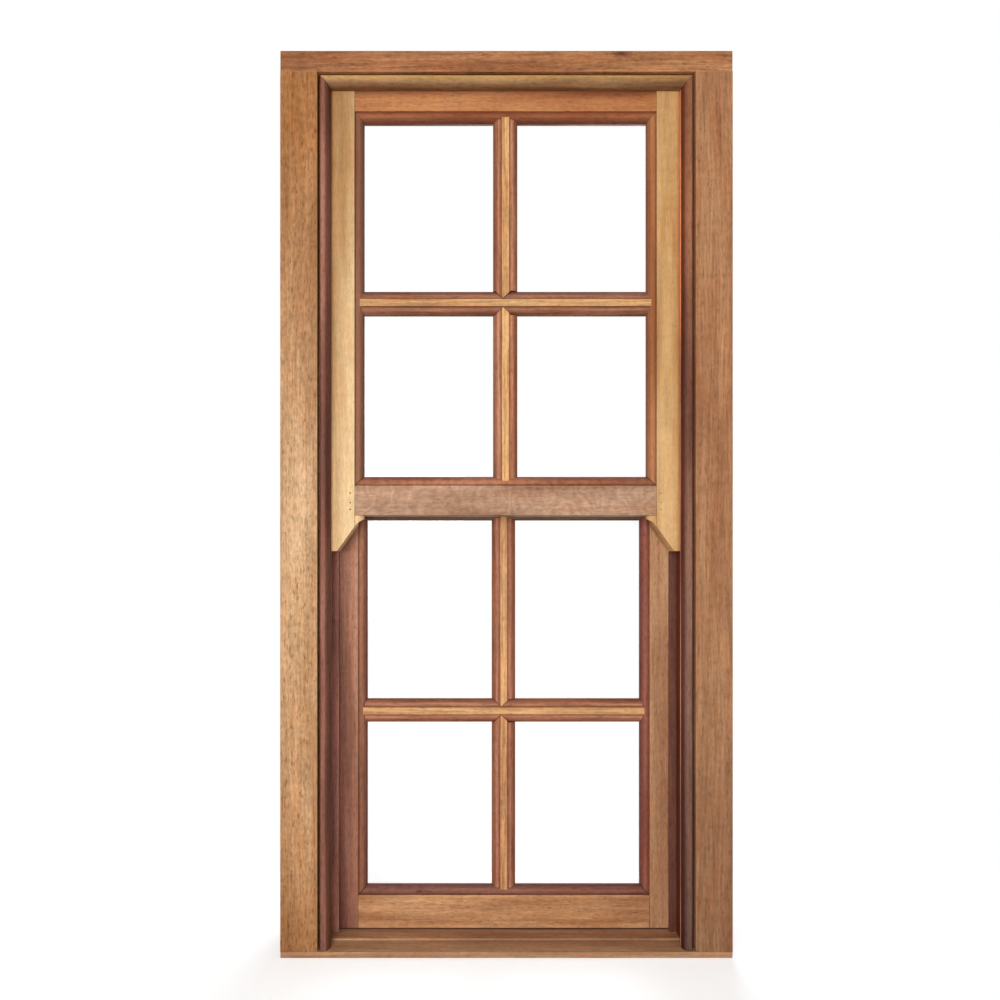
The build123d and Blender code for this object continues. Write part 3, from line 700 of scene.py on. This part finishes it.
# Painted shadow of the outer bead along the stile's outer edge.
LOWER_RIGHT_BEAD_SHADOW = gradient_shade((0.45, 0.32, 0.34), (80.0, 0.0, 0.0), 27.2)
LOWER_RIGHT_MOULDING_SHADING = (0.48, 0.32, 0.42)
lower_right_wood = oiled_wood(
    "lower_stile_right_wood", "Z", LOWER_RIGHT_TONES, shift=(7.7, 4.9, 1.3),
    painted_band=shade_band(TO_ROOM, LOWER_FACE, MEMBER_PAINTED_SHADING, LOWER_RIGHT_MOULDING_SHADING),
    gradient=LOWER_RIGHT_BEAD_SHADOW, joint=lower_mitre, sides=0.6,
)
dress("lower_stile_right", lower_right_wood)
LOWER_MEETING_TONES = ((190, 144, 108), (172, 124, 90), (146, 98, 68))
# Painted shadow on this rail's moulding, under the upper meeting rail.
LOWER_MEETING_MOULDING_SHADING = (0.53, 0.56, 0.58)
lower_meeting_wood = oiled_wood(
    "lower_meeting_rail_wood", "X", LOWER_MEETING_TONES, shift=(8.3, 6.6, 2.2),
    painted_band=shade_band(TO_ROOM, LOWER_FACE, MEMBER_PAINTED_SHADING, LOWER_MEETING_MOULDING_SHADING), sides=0.6,
)
dress("lower_meeting_rail", lower_meeting_wood)
BOTTOM_RAIL_TONES = ((219, 167, 120), (201, 149, 105), (172, 118, 80))
BOTTOM_RAIL_KNOT = ((-0.177, 0.0, 0.096), (0.009, 1.0, 0.005))
BOTTOM_RAIL_MOULDING_SHADING = (0.36, 0.29, 0.41)
bottom_rail_wood = oiled_wood(
    "lower_bottom_rail_wood", "X", BOTTOM_RAIL_TONES, shift=(9.9, 5.1, 0.4), streaks=0.14, flecks=0.5,
    painted_band=shade_band(TO_ROOM, LOWER_FACE, MEMBER_PAINTED_SHADING, BOTTOM_RAIL_MOULDING_SHADING),
    joint=lower_mitre, knot=BOTTOM_RAIL_KNOT, sides=0.6,
)
dress("lower_bottom_rail", bottom_rail_wood)

# Glazing bars. The level bar is whole from stile to stile, and the upright bar comes to a point
# on each side of it. Each is moulded on both sides of a flat fillet.
UP = (0.0, 0.0, 1.0)
BAR_TONES = {
    ("upper", "X"): ((221, 173, 119), (207, 157, 105), (190, 140, 92)),
    ("upper", "Z"): ((238, 186, 128), (224, 170, 114), (206, 150, 99)),
    ("lower", "X"): ((221, 170, 118), (211, 159, 108), (196, 142, 96)),
    ("lower", "Z"): ((228, 174, 120), (218, 161, 110), (202, 145, 98)),
}
# Painted shade across each moulding of a bar, from the fillet's edge to the sight edge, with a paler,
# pinker painted sheen in its middle.
BAR_PAINTED_SHADING = (
    (0.0, (0.56, 0.42, 0.44)),
    (1.5, (0.50, 0.37, 0.38)),
    (3.0, (0.53, 0.40, 0.43)),
    (4.5, (0.62, 0.50, 0.64)),
    (6.2, (0.71, 0.61, 0.88)),
    (8.2, (0.70, 0.58, 0.84)),
    (10.2, (0.56, 0.41, 0.56)),
    (12.2, (0.45, 0.31, 0.38)),
    (15.2, (0.39, 0.30, 0.35)),
    (18.0, (0.36, 0.28, 0.34)),
)
# Colours of the painted shade on each sash's level and upright bars.
BAR_MOULDING_SHADINGS = {
    ("upper", "X"): (0.80, 0.74, 0.71),
    ("upper", "Z"): (0.95, 0.92, 0.88),
    ("lower", "X"): (1.0, 0.94, 0.87),
    ("lower", "Z"): (0.95, 0.92, 0.88),
}
FILLET_EDGE = 6.5 * MILLIMETRE
BAR_ARRIS = 0.4 * MILLIMETRE
POINT_ASIDE = -5.0 * MILLIMETRE
POINT_RISE = 8.0 * MILLIMETRE
BAR_JOINT_DEPTH = 13 * MILLIMETRE
BAR_SHIFT = Vector((0.5, 7.7, 0.0))
BAR_SHIFT_STEP = Vector((2.37, 0.0, 0.83))


def bar_height(sash):
    """The middle height of a sash's level bar, and half its width."""
    low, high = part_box(f"{sash}_cross_bar")
    return (low[2] + high[2]) / 2, (high[2] - low[2]) / 2


BARS = (("cross_bar", "X"), ("upright_bar_top", "Z"), ("upright_bar_bottom", "Z"))
SASH_BARS = [(sash, bar, grain) for sash in ("upper", "lower") for bar, grain in BARS]
for number, (sash, bar, grain) in enumerate(SASH_BARS):
    node = f"{sash}_{bar}"
    height, half_bar = bar_height(sash)
    across, middle = (UP, height) if grain == "X" else (TO_RIGHT, 0.0)
    joint_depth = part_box(node)[0][1] + BAR_JOINT_DEPTH
    bar_wood = oiled_wood(
        f"{node}_wood", grain, BAR_TONES[sash, grain], BAR_SHIFT + number * BAR_SHIFT_STEP, streaks=0.26,
        painted_band=shade_band(across, FILLET_EDGE, BAR_PAINTED_SHADING, BAR_MOULDING_SHADINGS[sash, grain], middle=middle),
        joint=(POINT_ASIDE, height, POINT_RISE, half_bar, joint_depth),
    )
    dress(node, bar_wood, BAR_ARRIS)

# Panes. Clear float glass, one sheet to each of the four openings of a sash.
# They are set from the room side against the rebate, before the glazing beads go in.
GLASS_TINT = (0.997, 1.0, 0.999, 1.0)
GLASS_IOR = 1.45
clear_glass = bpy.data.materials.new("clear_glass")
clear_glass.use_nodes = True
glass_shader = clear_glass.node_tree.nodes["Principled BSDF"]
glass_shader.inputs["Base Color"].default_value = GLASS_TINT
glass_shader.inputs["Roughness"].default_value = 0.0
glass_shader.inputs["IOR"].default_value = GLASS_IOR
glass_shader.inputs["Transmission Weight"].default_value = 1.0
PANES = [f"{row}_{side}" for row in ("top", "bottom") for side in ("left", "right")]
for sash in ("upper", "lower"):
    for pane in PANES:
        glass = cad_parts[f"{sash}_glass_{pane}"]
        glass.material_slots[0].material = clear_glass
        glass.visible_shadow = False

# Glazing beads. Four mitred, splayed lengths to each pane, pinned to the sash on the room side.
# The grain runs along each length, so the upright and the level ones are cut from two boards.
BEAD_ARRIS = 0.3 * MILLIMETRE
for sash, along_tree in (("upper", 1.9), ("lower", 3.1)):
    upright_bead_wood = oiled_wood(
        f"{sash}_upright_bead_wood", "Z", STAFF_TONES, shift=(along_tree, 8.8, 1.0)
    )
    level_bead_wood = oiled_wood(f"{sash}_level_bead_wood", "X", STAFF_TONES, shift=(along_tree, 9.4, 2.0))
    for pane in PANES:
        node = f"{sash}_glazing_beads_{pane}"
        low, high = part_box(node)
        beads = dress(node, upright_bead_wood, BEAD_ARRIS).data
        beads.materials.append(level_bead_wood)
        for face in beads.polygons:
            from_side = min(face.center.x - low[0], high[0] - face.center.x)
            from_end = min(face.center.z - low[2], high[2] - face.center.z)
            face.material_index = 1 if from_end < from_side else 0

# Brads. Steel brads hold the glazing beads from the room side, and longer ones hold the staff beads.
# They stand in rows at an even pitch, with their heads just proud of the timber.
ZINC_PALE = (0.62, 0.63, 0.65, 1.0)
ZINC_DARK = (0.50, 0.51, 0.54, 1.0)
ZINC_ROUGHNESS = (0.28, 0.44)
SPANGLE_COUNT = 160.0
SPANGLE_RANGE = (0.1, 0.8)
DRAWN_LINES = (900.0, 40.0, 2.0)


def plated_steel():
    """Zinc plate: a soft grey with a faint spangle and drawn lines along the tube."""
    material = bpy.data.materials.new("plated_steel")
    material.use_nodes = True
    tree = material.node_tree
    shader = tree.nodes["Principled BSDF"]
    place = tree.nodes.new("ShaderNodeTexCoord").outputs["Object"]
    drawn = grain_noise(tree, place, *DRAWN_LINES).outputs[0]
    cells = add_node(tree, "ShaderNodeTexVoronoi", {"Vector": place, "Scale": SPANGLE_COUNT})
    spangle = spread(tree, cells.outputs["Distance"], *SPANGLE_RANGE)
    tree.links.new(blend_colour(tree, spangle, ZINC_PALE, ZINC_DARK), shader.inputs["Base Color"])
    tree.links.new(spread(tree, drawn, *FIBRE_RANGE, *ZINC_ROUGHNESS), shader.inputs["Roughness"])
    shader.inputs["Metallic"].default_value = 1.0
    return material


HEAD_SIDES = 10


def brad_row_tree():
    """Geometry nodes that set a brad head at an even pitch along each edge, square to the timber."""
    tree = bpy.data.node_groups.new("brad_rows", "GeometryNodeTree")
    for name, kind in (
        ("Geometry", "NodeSocketGeometry"),
        ("Pitch", "NodeSocketFloat"),
        ("Head radius", "NodeSocketFloat"),
        ("Head height", "NodeSocketFloat"),
        ("Material", "NodeSocketMaterial"),
    ):
        tree.interface.new_socket(name, in_out="INPUT", socket_type=kind)
    tree.interface.new_socket("Geometry", in_out="OUTPUT", socket_type="NodeSocketGeometry")
    given = tree.nodes.new("NodeGroupInput").outputs
    rows = add_node(tree, "GeometryNodeMeshToCurve", {"Mesh": given["Geometry"]})
    spacing = {"Curve": rows.outputs[0], "Length": given["Pitch"]}
    spaced = add_node(tree, "GeometryNodeResampleCurve", spacing, mode="LENGTH")
    head = add_node(
        tree,
        "GeometryNodeMeshCylinder",
        {"Vertices": HEAD_SIDES, "Radius": given["Head radius"], "Depth": given["Head height"]},
    )
    stored = add_node(tree, "GeometryNodeInputNamedAttribute", {"Name": "facing"}, data_type="FLOAT_VECTOR")
    facing = stored.outputs["Attribute"]
    turn = add_node(tree, "FunctionNodeAlignRotationToVector", {"Vector": facing}, axis="Z")
    driven = add_node(
        tree,
        "GeometryNodeInstanceOnPoints",
        {"Points": spaced.outputs[0], "Instance": head.outputs["Mesh"], "Rotation": turn.outputs[0]},
    )
    solid = add_node(tree, "GeometryNodeRealizeInstances", {"Geometry": driven.outputs[0]})
    coated = add_node(
        tree, "GeometryNodeSetMaterial", {"Geometry": solid.outputs[0], "Material": given["Material"]}
    )
    add_node(tree, "NodeGroupOutput", {"Geometry": coated.outputs[0]})
    return tree


steel = plated_steel()
brad_rows = brad_row_tree()


def drive_brads(name, body, rows, pitch, radius, height):
    """One mesh of brad heads for a body: each row is its two ends and the way its heads face."""
    lines = bpy.data.meshes.new(f"{name}_rows")
    lines.from_pydata(
        [end for start, stop, way in rows for end in (start, stop)],
        [(2 * index, 2 * index + 1) for index in range(len(rows))],
        [],
    )
    facing = lines.attributes.new("facing", "FLOAT_VECTOR", "POINT")
    facing.data.foreach_set("vector", [part for start, stop, way in rows for part in (*way, *way)])
    holder = bpy.data.objects.new(f"{name}_rows", lines)
    bpy.context.scene.collection.objects.link(holder)
    setting = holder.modifiers.new("brad_rows", "NODES")
    setting.node_group = brad_rows
    sockets = brad_rows.interface.items_tree
    inputs = {socket.name: socket.identifier for socket in sockets if socket.in_out == "INPUT"}
    setting[inputs["Pitch"]] = pitch
    setting[inputs["Head radius"]] = radius
    setting[inputs["Head height"]] = height
    setting[inputs["Material"]] = steel
    evaluated = holder.evaluated_get(bpy.context.evaluated_depsgraph_get())
    brads = bpy.data.objects.new(name, bpy.data.meshes.new_from_object(evaluated))
    bpy.context.scene.collection.objects.link(brads)
    bpy.data.objects.remove(holder)
    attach(brads, body)


BRAD_PITCH = 78 * MILLIMETRE
BRAD_RADIUS = 0.9 * MILLIMETRE
BRAD_HEIGHT = 0.4 * MILLIMETRE
BRAD_MARGIN = 34 * MILLIMETRE
SPLAY_INSET = 8.9 * MILLIMETRE
SPLAY_IN = 0.86
SPLAY_ROOM = 0.51
for sash in ("upper", "lower"):
    rows = []
    for pane in PANES:
        low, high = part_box(f"{sash}_glazing_beads_{pane}")
        near = (low[1] + high[1]) / 2
        left, right = low[0] + SPLAY_INSET, high[0] - SPLAY_INSET
        foot, top = low[2] + SPLAY_INSET, high[2] - SPLAY_INSET
        low_end, high_end = foot + BRAD_MARGIN, top - BRAD_MARGIN
        left_end, right_end = left + BRAD_MARGIN, right - BRAD_MARGIN
        rows.append(((left, near, low_end), (left, near, high_end), (SPLAY_IN, SPLAY_ROOM, 0.0)))
        rows.append(((right, near, low_end), (right, near, high_end), (-SPLAY_IN, SPLAY_ROOM, 0.0)))
        rows.append(((left_end, near, foot), (right_end, near, foot), (0.0, SPLAY_ROOM, SPLAY_IN)))
        rows.append(((left_end, near, top), (right_end, near, top), (0.0, SPLAY_ROOM, -SPLAY_IN)))
    drive_brads(f"{sash}_bead_brads", f"{sash}_sash", rows, BRAD_PITCH, BRAD_RADIUS, BRAD_HEIGHT)

STAFF_PITCH = 210 * MILLIMETRE
STAFF_BRAD_RADIUS = 1.2 * MILLIMETRE
STAFF_MARGIN = 60 * MILLIMETRE
STAFF_FROM_FRONT = 9 * MILLIMETRE
rows = []
for node, inner, way in (("staff_bead_left", 1, 1.0), ("staff_bead_right", 0, -1.0)):
    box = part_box(node)
    low_end, high_end = box[0][2] + STAFF_MARGIN, box[1][2] - STAFF_MARGIN
    across, near = box[inner][0], box[0][1] + STAFF_FROM_FRONT
    rows.append(((across, near, low_end), (across, near, high_end), (way, 0.0, 0.0)))
for node, inner, way in (("staff_bead_sill", 1, 1.0), ("staff_bead_head", 0, -1.0)):
    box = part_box(node)
    left_end, right_end = box[0][0] + STAFF_MARGIN, box[1][0] - STAFF_MARGIN
    height, near = box[inner][2], box[0][1] + STAFF_FROM_FRONT
    rows.append(((left_end, near, height), (right_end, near, height), (0.0, 0.0, way)))
drive_brads("staff_bead_brads", "frame", rows, STAFF_PITCH, STAFF_BRAD_RADIUS, BRAD_HEIGHT)

# Pins. Small hardwood pins whittled to eight sides and driven through the meeting rail's tenons.
# The left ones have darkened, and the right ones are still pale.
PIN_TONES = ((140, 104, 72), (118, 84, 56), (90, 60, 40))
PALE_PIN_TONES = ((206, 164, 112), (192, 148, 98), (172, 128, 82))
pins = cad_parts["meeting_rail_pins"]
pins.material_slots[0].material = oiled_wood("pin_end_grain", "X", PIN_TONES, shift=(0.5, 9.5, 0.5))
pins.data.materials.append(oiled_wood("pale_pin_end_grain", "X", PALE_PIN_TONES, shift=(1.5, 9.9, 0.7)))
for face in pins.data.polygons:
    face.material_index = 1 if face.center.x > 0.0 else 0

# Balances. Zinc-plated steel tubes that hang from a tab on the jamb, each with a nylon guide nut
# at its foot and a steel rod that runs down to a foot in the edge of the stile.
NYLON_DARK = (222, 219, 208)
NYLON_PALE = (232, 230, 221)
NYLON_MOTTLE = (300.0, 300.0, 2.0)
NYLON_ROUGHNESS = (0.42, 0.52)


def moulded_nylon():
    """Off-white nylon with the faint mottle of a moulded part."""
    material = bpy.data.materials.new("moulded_nylon")
    material.use_nodes = True
    tree = material.node_tree
    shader = tree.nodes["Principled BSDF"]
    place = tree.nodes.new("ShaderNodeTexCoord").outputs["Object"]
    mottle = grain_noise(tree, place, *NYLON_MOTTLE).outputs[0]
    shade = blend_colour(tree, spread(tree, mottle, *FIBRE_RANGE), tint(*NYLON_DARK), tint(*NYLON_PALE))
    tree.links.new(shade, shader.inputs["Base Color"])
    tree.links.new(spread(tree, mottle, *FIBRE_RANGE, *NYLON_ROUGHNESS), shader.inputs["Roughness"])
    return material


nylon = moulded_nylon()
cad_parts["balance_screws"].material_slots[0].material = steel
for sash in ("upper", "lower"):
    for side in ("left", "right"):
        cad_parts[f"balance_tube_{sash}_{side}"].material_slots[0].material = steel
        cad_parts[f"balance_rod_{sash}_{side}"].material_slots[0].material = steel
        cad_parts[f"balance_nut_{sash}_{side}"].material_slots[0].material = nylon

# Floor. A plain white board under the window, short behind it, that keeps the window's shadow.
# It glows a little to the eye and in the glass, so that it runs into the white surround.
FLOOR_SIDE = 4.0
FLOOR_FRONT = -3.0
FLOOR_BACK = 0.32
floor_mesh = bpy.data.meshes.new("floor")
floor_mesh.from_pydata(
    [
        (-FLOOR_SIDE, FLOOR_FRONT, 0.0),
        (FLOOR_SIDE, FLOOR_FRONT, 0.0),
        (FLOOR_SIDE, FLOOR_BACK, 0.0),
        (-FLOOR_SIDE, FLOOR_BACK, 0.0),
    ],
    [],
    [(0, 1, 2, 3)],
)
floor = bpy.data.objects.new("floor", floor_mesh)
bpy.context.scene.collection.objects.link(floor)
FLOOR_PAINT = (0.86, 0.86, 0.86, 1.0)
FLOOR_ROUGHNESS = 0.9
FLOOR_GLOW = 0.50
WHITE = (1.0, 1.0, 1.0, 1.0)


def seen_directly(tree):
    """One for what the eye sees straight, through glass or in a gloss, and nought for bounced light."""
    rays = tree.nodes.new("ShaderNodeLightPath").outputs
    clear = reckon(tree, "MAXIMUM", rays["Is Camera Ray"], rays["Is Transmission Ray"])
    seen = reckon(tree, "MAXIMUM", clear, rays["Is Glossy Ray"])
    return times(tree, seen, reckon(tree, "LESS_THAN", rays["Diffuse Depth"], 0.5))


floor_paint = bpy.data.materials.new("floor_paint")
floor_paint.use_nodes = True
tree = floor_paint.node_tree
floor_shader = tree.nodes["Principled BSDF"]
floor_shader.inputs["Base Color"].default_value = FLOOR_PAINT
floor_shader.inputs["Roughness"].default_value = FLOOR_ROUGHNESS
paint = floor_shader.outputs[0]
glow = add_node(tree, "ShaderNodeEmission", {"Color": WHITE, "Strength": FLOOR_GLOW}).outputs[0]
lit = add_node(tree, "ShaderNodeAddShader", {0: paint, 1: glow}).outputs[0]
shown = add_node(tree, "ShaderNodeMixShader", {0: seen_directly(tree), 1: paint, 2: lit}).outputs[0]
tree.links.new(shown, tree.nodes["Material Output"].inputs["Surface"])
floor_mesh.materials.append(floor_paint)

# Light. Soft studio light from the front, a little from the left, over a white surround.
# A second soft box stands on the room side and lights the back of the window.
SURROUND_LIGHT = 0.30
world = bpy.data.worlds.new("white_surround")
world.use_nodes = True
bpy.context.scene.world = world
tree = world.node_tree
surround = tree.nodes["Background"]
surround.inputs["Color"].default_value = WHITE
strength = spread(tree, seen_directly(tree), 0.0, 1.0, SURROUND_LIGHT, 1.0)
tree.links.new(strength, surround.inputs["Strength"])


def soft_box(name, place, target, width, power):
    """A square area lamp at a place, turned to a target and kept out of sight behind the panes."""
    lamp = bpy.data.lights.new(name, "AREA")
    lamp.size = width
    lamp.energy = power
    holder = bpy.data.objects.new(name, lamp)
    holder.location = place
    aim = [there - here for there, here in zip(target, place)]
    holder.rotation_euler = Vector(aim).to_track_quat("-Z", "Y").to_euler()
    holder.visible_camera = False
    holder.visible_transmission = False
    bpy.context.scene.collection.objects.link(holder)


window_middle = (0.0, 0.0, (cad_box[0].z + cad_box[1].z) / 2)
soft_box("key_soft_box", place=(-0.9, -3.4, 1.25), target=window_middle, width=1.8, power=78.0)
soft_box("room_soft_box", place=(0.8, 3.2, 1.9), target=window_middle, width=1.8, power=60.0)

# Camera. It stands square to the window, left of its middle and a little below half height.
# The lens is shifted, as on a view camera, so that the upright lines stay upright.
CAMERA_DISTANCE = 1.4
CAMERA_ASIDE = -0.1018
CAMERA_HEIGHT = 0.7876
FOCAL_LENGTH = 25.49
FILM_WIDTH = 36.0
LENS_SHIFT = (0.045, 0.06)
lens = bpy.data.cameras.new("camera")
lens.lens = FOCAL_LENGTH
lens.sensor_width = FILM_WIDTH
lens.shift_x, lens.shift_y = LENS_SHIFT
camera = bpy.data.objects.new("camera", lens)
camera.location = (CAMERA_ASIDE, cad_box[0].y - CAMERA_DISTANCE, CAMERA_HEIGHT)
camera.rotation_euler = (math.pi / 2, 0.0, 0.0)
bpy.context.scene.collection.objects.link(camera)
bpy.context.scene.camera = camera
bpy.context.scene.view_settings.view_transform = "Standard"
